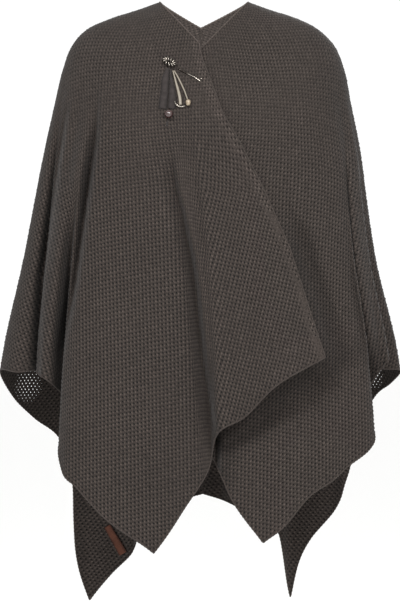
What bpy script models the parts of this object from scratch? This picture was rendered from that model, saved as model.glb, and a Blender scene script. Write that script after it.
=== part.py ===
"""Knitted wrap poncho, worn and empty, with a brooch that pins the lap.

Two rectangular knitted panels are joined down the centre back. Each one lies over a shoulder, and the
panel of the wearer's right side laps over the other across the front. Metres, +Z up, the front faces -Y,
and the origin is between the two sides of the neck, where the wearer's shoulders carry the cloth.
"""

import math

import bpy
import numpy as np
from mathutils import Vector
from mathutils.bvhtree import BVHTree

MM = 0.001

# Driving sizes, in millimetres.
WALL = 2.5  # the knit's thickness
LAP = 7.5  # how far the over panel stands outside the under panel where they cross
LAP_FULL = 44  # the over panel stands out in full up to this turn, in degrees from the front
LAP_END = 72  # and lies on the body's form from this turn on
SEAM_GAP = 0.3  # between the two panels at the centre back seam
NECK_LEAN = 4.0  # the neck sits this far towards the over side
LEAN_END = 220.0  # and the lean has gone by this drop
FOLD_START = 120.0  # folds begin at this drop
FOLD_FULL = 650.0  # and have the depth of the hem tables at this one
FOLD_POWER = 1.25
COLUMN_STEP = 36.0  # along the hem
ROWS = 26
TOP_ROW_SHARE = 0.5  # height of the top row over the mean height

# The worn form, one row for each ring from the neck down. over_side and under_side are half widths.
# Each drop is how far the ring lies below the origin there. square is 2 for an ellipse, and rise is 1
# where the ring runs up to the sides in a straight V.
RING_COLUMNS = (
    "name over_side under_side side_drop front front_drop back back_drop square rise"
)
RINGS = [
    ("neck", 71, 83, 0, 76, 85, 70, 41, 2.0, 1.0),
    ("collar", 110, 122, 14, 93, 107, 92, 70, 2.0, 1.2),
    ("yoke", 157, 168, 29, 107, 130, 110, 104, 2.0, 1.6),
    ("shoulder", 200, 206, 49, 118, 155, 124, 134, 2.0, 1.9),
    ("cap", 224, 231, 75, 127, 178, 133, 158, 2.05, 2.0),
    ("upper_arm", 242, 248, 119, 137, 207, 141, 188, 2.1, 2.0),
    ("bust", 256, 257, 172, 147, 240, 147, 224, 2.15, 2.0),
    ("chest", 276, 273, 259, 155, 292, 152, 284, 2.2, 2.0),
    ("ribs", 294, 284, 350, 160, 362, 155, 360, 2.2, 2.0),
    ("waist", 311, 296, 438, 165, 438, 157, 438, 2.2, 2.0),
    ("wrist", 349, 333, 609, 172, 609, 160, 609, 2.2, 2.0),
    ("thigh", 372, 352, 800, 180, 800, 164, 800, 2.2, 2.0),
    ("tips", 380, 360, 1060, 188, 1060, 166, 1060, 2.2, 2.0),
]

# The lower edge of each panel, from its front corner round the arm to the centre back, one row for each
# fold, corner and turn. turn is the angle of its column round the body in degrees: the front is 0, the
# panel's own arm 90 and the back 180. x, y and drop place it on the hem, and sharp marks the corners of
# the cut rectangle and the ends.
HEM_COLUMNS = "name turn x y drop sharp"
OVER_HEM = [
    ("front_corner", -52, 209, -158, 618, True),
    ("flap", -33, 125, -190, 668, False),
    ("flap_inner", -19, 71, -202, 721, False),
    ("flap_fold", -8, 25, -208, 753, False),
    ("lap_valley", -2, 15, -183, 800, False),
    ("point_inner", 9, -32, -190, 878, False),
    ("front_point", 23, -84, -198, 952, True),
    ("point_outer", 40, -170, -196, 890, False),
    ("front_turn", 51, -216, -178, 840, False),
    ("side_turn", 58, -241, -152, 812, False),
    ("side_fold", 62, -247, -124, 770, False),
    ("side_inner", 65, -234, -92, 730, False),
    ("side_valley", 69, -239, -54, 692, False),
    ("arm_front", 73, -266, -98, 661, False),
    ("arm_fold", 76.5, -288, -82, 645, False),
    ("arm_valley", 80, -283, -44, 641, False),
    ("hand_front", 84, -318, -58, 645, False),
    ("hand", 91, -353, -8, 642, False),
    ("hand_back", 99, -331, 50, 692, False),
    ("arm_back", 106, -297, 84, 728, False),
    ("back_side", 113, -250, 104, 770, False),
    ("tail_side", 119, -231, 112, 848, False),
    ("tail_edge", 124, -224, 115, 969, False),
    ("back_point", 129, -201, 112, 1052, True),
    ("tail_hem", 134, -165, 104, 1007, False),
    ("tail_fold", 140, -127, 94, 968, False),
    ("tail_tuck", 148, -112, 150, 935, False),
    ("back_ridge", 155, -88, 184, 904, False),
    ("back_valley", 163, -56, 157, 886, False),
    ("seam_ridge", 172, -26, 181, 873, False),
    ("centre_back", 180, 0, 166, 865, True),
]
UNDER_HEM = [
    ("front_corner", -52, -186, -138, 617, True),
    ("flap", -34, -110, -161, 672, False),
    ("flap_inner", -14, -40, -169, 745, False),
    ("lap", 5, 22, -168, 803, False),
    ("point_inner", 16, 50, -176, 864, False),
    ("front_point", 29, 103, -185, 935, True),
    ("point_outer", 38, 142, -182, 904, False),
    ("front_side", 45, 180, -178, 858, False),
    ("front_turn", 54, 223, -160, 829, False),
    ("side_turn", 60, 247, -146, 807, False),
    ("side_hem", 67, 288, -120, 775, False),
    ("side_fold", 71, 296, -100, 755, False),
    ("side_valley", 76, 282, -58, 690, False),
    ("arm_front", 81, 323, -62, 622, False),
    ("arm_valley", 85, 312, -28, 638, False),
    ("hand", 91, 344, -4, 642, False),
    ("hand_back", 98, 329, 45, 666, False),
    ("arm_back", 104, 302, 78, 691, False),
    ("back_side", 109, 276, 94, 745, False),
    ("tail_side", 114, 256, 106, 832, False),
    ("tail_turn", 119, 233, 116, 892, False),
    ("tail_edge", 124, 190, 118, 945, False),
    ("tail_neck", 128, 170, 118, 985, False),
    ("back_point", 132, 156, 114, 1047, True),
    ("tail_fold", 140, 137, 100, 940, False),
    ("tail_tuck", 149, 104, 158, 908, False),
    ("back_ridge", 156, 82, 184, 898, False),
    ("back_valley", 164, 54, 158, 884, False),
    ("seam_ridge", 172, 27, 181, 874, False),
    ("centre_back", 180, 0, 166, 865, True),
]

# The free front edge of the over panel, from the crossing at the neck to its front corner. The under
# panel's own edge is its mirror image, a little nearer to the centre.
EDGE_COLUMNS = "name drop x"
FRONT_EDGE = [
    ("crossing", 85, 0),
    ("pin", 140, 20),
    ("breast", 196, 39),
    ("bust", 250, 70),
    ("ribs", 331, 110),
    ("waist", 430, 152),
    ("hip", 532, 183),
    ("corner", 618, 209),
]
UNDER_EDGE_SHARE = 0.9

# The brooch and what hangs from it. x and drop place each point on the over panel.
CLEAR = 0.5  # above the knit
HEAD_X, HEAD_DROP = -57.6, 111
HEAD_LONG, HEAD_SHORT = 9.6, 4.9  # half width and half height of the knot's centre line
HEAD_SLANT = 28  # degrees down towards the shaft
HEAD_LOOP = 2.8  # the wire winds this far out round that line
HEAD_WINDS = 5  # as it goes twice about
HEAD_WIRE = 1.2
HEAD_POINTS = 80
LINE_COLUMNS = "x drop"
SHAFT = [(-43, 121.4), (-32, 127.7), (-20, 133.6), (-11, 138.8), (-4, 143.9)]
SHAFT_RADIUS = 1.3
STUD_X, STUD_DROP = -3.2, 139.2
STUD_RADIUS = 1.4
STRIP_COLUMNS = "x drop width"
LEFT_TAIL = [
    (-60.2, 121, 4),
    (-64.5, 139, 12.6),
    (-65.9, 159, 13),
    (-68, 179, 14),
    (-69.2, 191, 14.4),
]
RIGHT_TAIL = [
    (-56.0, 122.5, 3),
    (-54.4, 139, 5.2),
    (-53, 159, 10.6),
    (-52.4, 179, 14),
    (-53.8, 191, 13),
]
TAIL_THICK = 1.2
WIDE_LACE = [
    (-50.8, 125.7, 2.6),
    (-46.9, 143.4, 3.6),
    (-42.6, 159.2, 5.2),
    (-39.3, 175, 5.8),
    (-38.6, 185, 6),
]
NARROW_LACE = [
    (-47.2, 126.4, 2.8),
    (-42.7, 135.5, 3.1),
    (-34.1, 155.3, 3.2),
    (-26.9, 173, 3.4),
    (-26, 175.4, 3.4),
]
LACE_THICK = 1.3
BROWN_X, BROWN_DROP = -58.2, 202.6
BROWN_RADIUS = 7.2
BEAD_CORD = [(-59.4, 210.6), (-61.4, 216), (-62, 222)]
BEAD_CORD_RADIUS = 0.9
CREAM_X, CREAM_DROP = -24, 181.9
CREAM_ACROSS, CREAM_ALONG = 4.2, 5.4
CRESCENT = [
    (-48.2, 177),
    (-47.4, 182),
    (-44.2, 186.3),
    (-38.4, 188.4),
    (-33, 187.9),
    (-30.4, 186.6),
]
CRESCENT_RADIUS = 1.1
CRESCENT_LIFT = 1.7  # it lies over the edge of the right tail

# The bare leather label, on the inner face of the over panel's back point.
LABEL = [(-169, 921, 13), (-159.5, 937, 14), (-150, 953, 14), (-141, 968, 14)]
LABEL_THICK = 1.2

FRONT = -1.0  # a look along +Y for the front's outer face starts here, in metres
INSIDE = 0.0  # and for the back's inner face here


def smooth(at, values, where):
    """The values on a curve that passes through every one, with the slope of its neighbours there."""
    at, values = np.asarray(at, float), np.asarray(values, float)
    slopes = np.gradient(values, at)
    span = np.clip(np.searchsorted(at, where, side="right") - 1, 0, len(at) - 2)
    step = at[span + 1] - at[span]
    f = (where - at[span]) / step
    start, end = values[span], values[span + 1]
    rise, fall = slopes[span] * step, slopes[span + 1] * step
    return (
        start * (1 + 2 * f) * (1 - f) ** 2
        + end * f * f * (3 - 2 * f)
        + rise * f * (1 - f) ** 2
        - fall * f * f * (1 - f)
    )


def ease(low, high, value):
    """0 at low and 1 at high, level at both ends."""
    f = np.clip((value - low) / (high - low), 0, 1)
    return f * f * (3 - 2 * f)


def table(columns, rows):
    """The columns of a table by name, as arrays."""
    return {name: np.array(values) for name, values in zip(columns.split(), zip(*rows))}


ring = table(RING_COLUMNS, RINGS)
ring["path"] = np.concatenate(
    [
        [0],
        np.cumsum(
            sum(
                np.hypot(np.diff(ring[out]), np.diff(ring[drop]))
                for out, drop in (
                    ("over_side", "side_drop"),
                    ("front", "front_drop"),
                    ("back", "back_drop"),
                )
            )
            / 3
        ),
    ]
)


def form(turn, path, hand):
    """x, y and drop on the worn form. hand is -1 for the over panel's arm and 1 for the other."""
    names = RING_COLUMNS.split()[1:]
    at = {name: smooth(ring["path"], ring[name], path) for name in names}
    sin, cos = np.sin(np.radians(turn)), np.cos(np.radians(turn))
    side = np.where(sin * hand < 0, at["over_side"], at["under_side"])
    depth = np.where(cos > 0, at["front"], at["back"])
    drop = np.where(cos > 0, at["front_drop"], at["back_drop"])
    power = at["square"]
    reach = (np.abs(sin / side) ** power + np.abs(cos / depth) ** power) ** (-1 / power)
    out = np.clip(np.abs(reach * sin) / side, 0, 1) ** at["rise"]
    return hand * reach * sin, -reach * cos, drop + (at["side_drop"] - drop) * out


def path_at(turn, drop, hand):
    """How far down the form a column reaches a drop."""
    low, high = np.zeros_like(drop), np.full_like(drop, ring["path"][-1] + 40)
    for _ in range(40):
        middle = (low + high) / 2
        above = form(turn, middle, hand)[2] < drop
        low, high = np.where(above, middle, low), np.where(above, high, middle)
    return (low + high) / 2


def fold_share(drop):
    return np.clip((drop - FOLD_START) / (FOLD_FULL - FOLD_START), 0, None) ** FOLD_POWER


def raised(turn, path, hand):
    """The form, with the over panel standing outside the under one across the front."""
    x, y, drop = form(turn, path, hand)
    if hand < 0:
        up = 0.8 * (1 - ease(0, 240, path))
        out = LAP * (1 - ease(LAP_FULL, LAP_END, turn)) / np.hypot(1, up)
        sin, cos = np.sin(np.radians(turn)), np.cos(np.radians(turn))
        x, y, drop = x + hand * sin * out, y - cos * out, drop - up * out
    return x, y, drop


def edge_turn(path, hand):
    """The turn of the free front edge at each point down the form."""
    edge = table(EDGE_COLUMNS, FRONT_EDGE)
    reach = edge["x"] * (1 if hand < 0 else UNDER_EDGE_SHARE)
    turn = np.zeros_like(path)
    for _ in range(12):
        x, y, drop = raised(turn, path, hand)
        wanted = np.interp(drop, edge["drop"], reach)
        turn = -np.degrees(np.arctan2(wanted, -y))
    return turn


def columns_of(rows):
    """turn, x, y and drop of each column on the hem, evenly spaced between the corners."""
    hem = table(HEM_COLUMNS, rows)
    turns = hem["turn"]
    corners = np.flatnonzero(hem["sharp"])
    pieces = []
    for first, last in zip(corners, corners[1:]):
        fine = np.linspace(turns[first], turns[last], 900)
        inside = slice(first, last + 1)
        points = np.stack(
            [
                fine,
                smooth(turns, hem["x"], fine),
                smooth(turns, hem["y"], fine),
                smooth(turns[inside], hem["drop"][inside], fine),
            ]
        )
        length = np.append(0, np.cumsum(np.linalg.norm(np.diff(points[1:]), axis=0)))
        even = np.linspace(0, length[-1], max(3, round(length[-1] / COLUMN_STEP)) + 1)
        piece = np.stack([np.interp(even, length, row) for row in points])
        pieces.append(piece if last == corners[-1] else piece[:, :-1])
    return np.concatenate(pieces, axis=1), turns[corners[1]]


def surface(hem, hand):
    """The outer face as a grid of points in metres, one column a step along the hem, one row a step down."""
    (turn, x, y, drop), point_turn = columns_of(hem)
    shift = np.clip((point_turn - turn) / (point_turn - turn[0]), 0, 1)
    bottom = path_at(turn, drop, hand)
    at_hem = raised(turn, bottom, hand)
    offset = [(x - at_hem[0]) / fold_share(drop), (y - at_hem[1]) / fold_share(drop)]
    corner = edge_turn(bottom[:1], hand)[0]

    f = np.linspace(0, 1, ROWS + 1)[:, None]
    path = bottom * (TOP_ROW_SHARE * f + (1 - TOP_ROW_SHARE) * f * f)
    turns = turn + shift * (edge_turn(path, hand) - corner)
    px, py, pdrop = raised(turns, path, hand)
    px, py = px + offset[0] * fold_share(pdrop), py + offset[1] * fold_share(pdrop)
    return np.stack([px, py, -pdrop], axis=-1) * MM


def normals_of(grid):
    """Outward unit normals, from the faces round each point."""
    total = np.zeros_like(grid)
    a, b, c, d = grid[:-1, :-1], grid[1:, :-1], grid[1:, 1:], grid[:-1, 1:]
    for face, corners in (((a, b, c), (0, 1, 2)), ((a, c, d), (0, 2, 3))):
        normal = np.cross(face[1] - face[0], face[2] - face[0])
        for corner in corners:
            rows = slice(1, None) if corner in (1, 2) else slice(None, -1)
            cols = slice(1, None) if corner in (2, 3) else slice(None, -1)
            total[rows, cols] += normal
    return total / np.linalg.norm(total, axis=-1, keepdims=True)


def material(name, colour, roughness, metallic=0.0):
    made = bpy.data.materials.new(name)
    made.use_nodes = True
    shader = made.node_tree.nodes["Principled BSDF"]
    shader.inputs["Base Color"].default_value = (*colour, 1)
    shader.inputs["Roughness"].default_value = roughness
    shader.inputs["Metallic"].default_value = metallic
    made.diffuse_color = (*colour, 1)
    made.roughness = roughness
    made.metallic = metallic
    return made


def solid(name, points, faces, surface_material):
    mesh = bpy.data.meshes.new(name)
    mesh.from_pydata([tuple(point) for point in points], [], faces)
    mesh.materials.append(surface_material)
    for polygon in mesh.polygons:
        polygon.use_smooth = True
    made = bpy.data.objects.new(name, mesh)
    bpy.context.scene.collection.objects.link(made)
    return made


def walled(outer, inner):
    """Points and faces of a closed wall between two grids."""
    rows, cols = outer.shape[:2]
    points = np.concatenate([outer.reshape(-1, 3), inner.reshape(-1, 3)])
    back = rows * cols

    def at(row, col):
        return row * cols + col

    faces = []
    for row in range(rows - 1):
        for col in range(cols - 1):
            a, b, c, d = at(row, col), at(row + 1, col), at(row + 1, col + 1), at(row, col + 1)
            faces += [(a, b, c), (a, c, d)]
            faces += [(back + c, back + b, back + a), (back + d, back + c, back + a)]
    rim = [at(0, col) for col in range(cols)]
    rim += [at(row, cols - 1) for row in range(1, rows)]
    rim += [at(rows - 1, col) for col in range(cols - 2, -1, -1)]
    rim += [at(row, 0) for row in range(rows - 2, 0, -1)]
    for first, second in zip(rim, rim[1:] + rim[:1]):
        faces += [(first, second, back + second), (first, back + second, back + first)]
    return points, faces


def outward(made):
    """The solid with its faces turned out."""
    points = np.array([vertex.co for vertex in made.data.vertices])
    volume = 0.0
    for face in made.data.polygons:
        a, *rest = points[list(face.vertices)]
        volume += sum(np.dot(a, np.cross(b, c)) for b, c in zip(rest, rest[1:]))
    if volume < 0:
        made.data.flip_normals()
    return made


def lean(grid):
    grid[..., 0] -= NECK_LEAN * MM * (1 - ease(0, LEAN_END * MM, -grid[..., 2]))


def panel(name, hem, hand, surface_material):
    """One knitted panel, a wall of even thickness under its outer face."""
    outer = surface(hem, hand)
    inner = outer + hand * normals_of(outer) * WALL * MM
    for grid in (outer, inner):
        grid[:, -1, 0] = hand * SEAM_GAP / 2 * MM
        lean(grid)
    return outward(solid(name, *walled(outer, inner), surface_material))


def tree_of(made):
    points = [Vector(vertex.co) for vertex in made.data.vertices]
    return BVHTree.FromPolygons(points, [tuple(face.vertices) for face in made.data.polygons])


def seat(tree, x, drop, off, start=FRONT):
    """The point at x and drop that stands off a panel's face by off, in metres."""
    hit, normal, _, _ = tree.ray_cast(Vector((x * MM, start, -drop * MM)), Vector((0, 1, 0)))
    return np.array(hit - math.copysign(1, normal.y) * normal * off * MM)


def run_of(columns, rows, count):
    """A smooth run of count points through a short table, by column name."""
    at = table(columns, rows)
    length = np.append(0, np.cumsum(np.hypot(np.diff(at["x"]), np.diff(at["drop"]))))
    even = np.linspace(0, length[-1], count)
    return {name: smooth(length, column, even) for name, column in at.items()}


def strip(name, tree, rows, thick, surface_material, count=12, across=4, start=FRONT):
    """A flat strip that lies on a panel."""
    run = run_of(STRIP_COLUMNS, rows, count)
    along = np.gradient(np.stack([run["x"], run["drop"]], axis=1), axis=0)
    along /= np.linalg.norm(along, axis=1, keepdims=True)
    grids = []
    for off in (CLEAR + thick, CLEAR):
        grid = []
        for x, drop, width, way in zip(run["x"], run["drop"], run["width"], along):
            shares = np.linspace(-width / 2, width / 2, across)
            grid.append([seat(tree, x - way[1] * f, drop + way[0] * f, off, start) for f in shares])
        grids.append(np.array(grid))
    return outward(solid(name, *walled(*grids), surface_material))


def swept(name, line, radii, around, surface_material, loop=False):
    """A round bar along a line of points in metres, with a flat end at each end unless it is a loop."""
    line = np.asarray(line)
    if loop:
        along = np.roll(line, -1, axis=0) - np.roll(line, 1, axis=0)
    else:
        along = np.gradient(line, axis=0)
    along /= np.linalg.norm(along, axis=1, keepdims=True)
    side = np.cross(along[0], (0.3, 0.2, 0.93))
    points = []
    for centre, direction, radius in zip(line, along, radii):
        side = side - direction * np.dot(side, direction)
        side /= np.linalg.norm(side)
        other = np.cross(direction, side)
        for angle in np.linspace(0, 2 * math.pi, around, endpoint=False):
            points.append(centre + radius * (math.cos(angle) * side + math.sin(angle) * other))
    count = len(line)
    faces = []
    for k in range(count if loop else count - 1):
        # A loop's last ring joins the first where their points lie nearest.
        shift = 0
        if k == count - 1:
            last = points[k * around]
            shift = min(range(around), key=lambda j: np.linalg.norm(points[j] - last))
        for j in range(around):
            a, b = k * around + j, k * around + (j + 1) % around
            c = (k + 1) % count * around + (j + 1 + shift) % around
            d = (k + 1) % count * around + (j + shift) % around
            faces.append((a, b, c, d))
    if not loop:
        faces.append(tuple(range(around))[::-1])
        faces.append(tuple(range((count - 1) * around, count * around)))
    return outward(solid(name, points, faces, surface_material))


def bar(name, tree, rows, radius, lift, surface_material, count=12, around=10):
    """A round bar that lies on a panel."""
    run = run_of(LINE_COLUMNS, rows, count)
    line = [seat(tree, x, drop, CLEAR + lift + radius) for x, drop in zip(run["x"], run["drop"])]
    return swept(name, line, [radius * MM] * count, around, surface_material)


def bead(name, tree, x, drop, across, along, surface_material, around=20, rings=12):
    """A bead that lies on a panel, across and along its half sizes, with its length upright."""
    centre = seat(tree, x, drop, CLEAR + across)
    angles = [math.pi * (k + 0.5) / rings for k in range(rings)]
    line = [centre + np.array([0, 0, along * MM * math.cos(angle)]) for angle in angles]
    radii = [across * MM * math.sin(angle) for angle in angles]
    return swept(name, line, radii, around, surface_material)


def knot(name, tree, surface_material):
    """The brooch's head: one wire that winds round an oval as it goes twice about it."""
    centre = seat(tree, HEAD_X, HEAD_DROP, 0)
    ahead = seat(tree, HEAD_X + 5, HEAD_DROP, 0) - seat(tree, HEAD_X - 5, HEAD_DROP, 0)
    down = seat(tree, HEAD_X, HEAD_DROP + 5, 0) - seat(tree, HEAD_X, HEAD_DROP - 5, 0)
    ahead /= np.linalg.norm(ahead)
    out = np.cross(down, ahead)
    out /= np.linalg.norm(out)
    down = np.cross(ahead, out)
    slant = math.radians(HEAD_SLANT)
    long_way = math.cos(slant) * ahead + math.sin(slant) * down
    short_way = math.cos(slant) * down - math.sin(slant) * ahead
    line = []
    for k in range(HEAD_POINTS):
        about = 4 * math.pi * k / HEAD_POINTS
        wind = about * HEAD_WINDS / 2
        reach = HEAD_LOOP * math.cos(wind)
        height = CLEAR + HEAD_WIRE + HEAD_LOOP * (1 + math.sin(wind))
        place = (HEAD_LONG + reach) * math.cos(about) * long_way
        place += (HEAD_SHORT + reach) * math.sin(about) * short_way
        line.append(centre + MM * (place + height * out))
    return swept(name, line, [HEAD_WIRE * MM] * HEAD_POINTS, 7, surface_material, loop=True)


bpy.context.scene.unit_settings.system = "METRIC"
for existing in list(bpy.data.objects):
    bpy.data.objects.remove(existing)

knit = material("charcoal_knit", (0.062, 0.052, 0.048), 0.95)
silver = material("antique_silver", (0.23, 0.21, 0.2), 0.35, 1.0)
suede = material("grey_suede", (0.075, 0.066, 0.063), 0.9)
lace = material("cream_leather", (0.62, 0.54, 0.44), 0.6)
wood = material("brown_bead", (0.075, 0.036, 0.032), 0.25)
pearl = material("cream_bead", (0.7, 0.62, 0.54), 0.35)
leather = material("brown_leather", (0.05, 0.026, 0.02), 0.7)

over = tree_of(panel("over_panel", OVER_HEM, -1, knit))
panel("under_panel", UNDER_HEM, 1, knit)
strip("label", over, LABEL, LABEL_THICK, leather, start=INSIDE)

knot("pin_head", over, silver)
bar("pin_shaft", over, SHAFT, SHAFT_RADIUS, 0, silver)
bead("pin_stud", over, STUD_X, STUD_DROP, STUD_RADIUS, STUD_RADIUS, silver, 10, 8)
strip("left_tail", over, LEFT_TAIL, TAIL_THICK, suede)
strip("right_tail", over, RIGHT_TAIL, TAIL_THICK, suede)
strip("wide_lace", over, WIDE_LACE, LACE_THICK, lace, across=3)
strip("narrow_lace", over, NARROW_LACE, LACE_THICK, lace, across=3)
bead("brown_bead", over, BROWN_X, BROWN_DROP, BROWN_RADIUS, BROWN_RADIUS, wood)
bar("bead_cord", over, BEAD_CORD, BEAD_CORD_RADIUS, 0, suede, 6, 8)
bar("crescent", over, CRESCENT, CRESCENT_RADIUS, CRESCENT_LIFT, silver, 14, 8)
bead("cream_bead", over, CREAM_X, CREAM_DROP, CREAM_ACROSS, CREAM_ALONG, pearl, 16, 10)
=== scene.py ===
"""Knitted wrap poncho, worn and empty: two tuck-stitch panels, joined down the back, lapped over in front
and pinned with a brooch. Metres, +Z up, the front faces -Y, and the origin is midway across the neck.
"""

import math

import bmesh
import bpy
import numpy as np
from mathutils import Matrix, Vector, noise
from mathutils.bvhtree import BVHTree


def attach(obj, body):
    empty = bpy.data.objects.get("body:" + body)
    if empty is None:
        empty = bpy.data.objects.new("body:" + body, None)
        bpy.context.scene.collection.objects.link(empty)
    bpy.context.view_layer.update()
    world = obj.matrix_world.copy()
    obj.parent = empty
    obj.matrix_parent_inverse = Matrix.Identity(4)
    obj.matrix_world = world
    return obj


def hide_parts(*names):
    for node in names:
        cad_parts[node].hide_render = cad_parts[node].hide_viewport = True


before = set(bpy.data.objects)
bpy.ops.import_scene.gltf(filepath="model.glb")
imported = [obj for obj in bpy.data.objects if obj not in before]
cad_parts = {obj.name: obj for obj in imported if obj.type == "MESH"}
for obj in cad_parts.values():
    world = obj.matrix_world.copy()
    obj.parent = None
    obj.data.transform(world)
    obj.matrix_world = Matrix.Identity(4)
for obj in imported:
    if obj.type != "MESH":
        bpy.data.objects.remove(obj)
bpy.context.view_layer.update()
MM = 0.001

# ----------------------------------------
# The studio. A long lens looks level at the front from eight metres. A pale floor lies well below the hem,
# and soft light comes from in front and above, with a fainter lamp behind and a small one inside the neck.
# ----------------------------------------
EYE_X, EYE_DISTANCE, EYE_HEIGHT = -0.005, 8.0, -0.5206
PIXEL = 1.75 * MM  # at the origin's distance
FRAME_LONG, SENSOR = 601, 36.0


def placed(name, data):
    """A new object in the scene, from its camera, lamp or mesh."""
    made = bpy.data.objects.new(name, data)
    bpy.context.scene.collection.objects.link(made)
    return made


eye = placed("eye", bpy.data.cameras.new("eye"))
eye.location = (EYE_X, -EYE_DISTANCE, EYE_HEIGHT)
eye.rotation_euler = (math.pi / 2, 0, 0)
eye.data.sensor_width = SENSOR
eye.data.lens = SENSOR * EYE_DISTANCE / (FRAME_LONG * PIXEL)
eye.data.clip_start, eye.data.clip_end = 0.1, 200
bpy.context.scene.camera = eye
bpy.context.scene.view_settings.view_transform = "Standard"


def linear(colour):
    """A colour from its sRGB hex value."""
    shares = [int(colour[k : k + 2], 16) / 255 for k in (1, 3, 5)]
    return (*(s / 12.92 if s <= 0.04045 else ((s + 0.055) / 1.055) ** 2.4 for s in shares), 1.0)


def fed(node, inputs):
    """The node, with values or links in its inputs. A node among them stands for its first output."""
    for name, value in inputs.items():
        if isinstance(value, bpy.types.Node):
            value = value.outputs[0]
        if isinstance(value, bpy.types.NodeSocket):
            node.id_data.links.new(value, node.inputs[name])
        else:
            node.inputs[name].default_value = value
    return node


def add(tree, kind, inputs=None, **settings):
    """A shader node of one kind, with its settings, and with values or links in its inputs."""
    node = tree.nodes.new("ShaderNode" + kind)
    for name, value in settings.items():
        setattr(node, name, value)
    return fed(node, inputs or {})


def finish_of(name, colour, roughness, **sockets):
    """A material with its shader's constant sockets set. Returns it with its node tree, its shader and the
    place on the object that its patterns are drawn from."""
    made = bpy.data.materials.new(name)
    made.use_nodes = True
    shader = made.node_tree.nodes["Principled BSDF"]
    fed(shader, {"Base Color": linear(colour), "Roughness": roughness})
    fed(shader, {socket.replace("_", " "): value for socket, value in sockets.items()})
    return made, made.node_tree, shader, add(made.node_tree, "TexCoord").outputs["Object"]


def shape_of(name, points, faces, material):
    """A smooth mesh piece, in place."""
    mesh = bpy.data.meshes.new(name)
    mesh.from_pydata([tuple(point) for point in points], [], faces)
    mesh.materials.append(material)
    mesh.polygons.foreach_set("use_smooth", [True] * len(mesh.polygons))
    return placed(name, mesh)


FLOOR_DROP, FLOOR_REACH = 1.35, 60.0
paper = finish_of("matt_paper", "#f6f6f5", 0.9)[0]
corners = [(x * FLOOR_REACH, y * FLOOR_REACH, -FLOOR_DROP) for x, y in ((-1, -1), (1, -1), (1, 1), (-1, 1))]
shape_of("floor", corners, [(0, 1, 2, 3)], paper)

ROOM_LIGHT = 1.05
world = bpy.data.worlds.new("white_room")
world.use_nodes = True
fed(world.node_tree.nodes["Background"], {"Color": linear("#ffffff"), "Strength": ROOM_LIGHT})
bpy.context.scene.world = world

# Each lamp's name, its place, the height that it is aimed at, its size and its power.
LAMPS = [
    ("right_softbox", 1.3, -3.2, 1.2, EYE_HEIGHT, 0.9, 98),
    ("left_softbox", -1.0, -3.0, 2.0, EYE_HEIGHT, 0.9, 120),
    ("back_softbox", 0.7, 3.0, 1.4, EYE_HEIGHT, 1.2, 60),
    ("neck_light", 0, -0.07, -0.2, -0.02, 0.06, 1.2),
]
for name, x, y, z, aim, size, power in LAMPS:
    lamp = placed(name, bpy.data.lights.new(name, "AREA"))
    lamp.location = (x, y, z)
    lamp.rotation_euler = (Vector((0, 0, aim)) - lamp.location).to_track_quat("-Z", "Y").to_euler()
    lamp.data.size, lamp.data.energy = size, power
    lamp.visible_camera = False

# ----------------------------------------
# The two knitted panels. Each is one rectangle of acrylic and wool in an open tuck stitch, charcoal brown,
# about 2.5 mm thick. It lies over a shoulder on the bias, so its corners hang as points, and the front of
# the wearer's right panel is drawn across and over the other one.
# ----------------------------------------
# Sizes are in millimetres, turns in degrees from the front, and a path is the way down the form.
WALL = 2.5
LAP = 7.5  # how far the over panel stands outside the under panel where they cross
LAP_FULL, LAP_END = 44, 72  # in full up to this turn, and not at all from this one on
LAP_UP, LAP_UP_END = 0.8, 240  # near the neck it stands up as well, by this share, down to this path
SEAM_GAP = 0.3
NECK_LEAN, LEAN_END = 4.0, 220.0  # the neck sits this far towards the over side, less and less to this drop
# Folds begin at the first drop, and have the depth of the hem tables at the second one.
FOLD_START, FOLD_FULL, FOLD_POWER = 120.0, 650.0, 1.25
COLUMN_STEP = 36.0  # along the hem
ROWS = 26
TOP_ROW_SHARE = 0.5  # height of the top row over the mean height
FINER = 4  # the fine grid has this many steps in each step of the coarse one
HEM_POINTS = 900  # between two corners, to measure the hem along
EDGE_ROUNDS, PATH_ROUNDS = 12, 40  # of the searches for the edge's turn, and for a path
PATH_SPARE = 40  # a path may end this far below the last ring

# Rings round the form, from the neck down: how far out its sides, front and back lie and how low, how
# square it is, and how late between the front and the side its height changes over.
RING_COLUMNS = "name over_side under_side side_drop front front_drop back back_drop square rise"
RINGS = [
    ("neck", 71, 83, 0, 76, 85, 70, 41, 2.0, 1.0),
    ("collar", 110, 122, 14, 93, 107, 92, 70, 2.0, 1.2),
    ("yoke", 157, 168, 29, 107, 130, 110, 104, 2.0, 1.6),
    ("shoulder", 200, 206, 49, 118, 155, 124, 134, 2.0, 1.9),
    ("cap", 224, 231, 75, 127, 178, 133, 158, 2.05, 2.0),
    ("upper_arm", 242, 248, 119, 137, 207, 141, 188, 2.1, 2.0),
    ("bust", 256, 257, 172, 147, 240, 147, 224, 2.15, 2.0),
    ("chest", 276, 273, 259, 155, 292, 152, 284, 2.2, 2.0),
    ("ribs", 294, 284, 350, 160, 362, 155, 360, 2.2, 2.0),
    ("waist", 311, 296, 438, 165, 438, 157, 438, 2.2, 2.0),
    ("wrist", 349, 333, 609, 172, 609, 160, 609, 2.2, 2.0),
    ("thigh", 372, 352, 800, 180, 800, 164, 800, 2.2, 2.0),
    ("tips", 380, 360, 1060, 188, 1060, 166, 1060, 2.2, 2.0),
]

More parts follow.
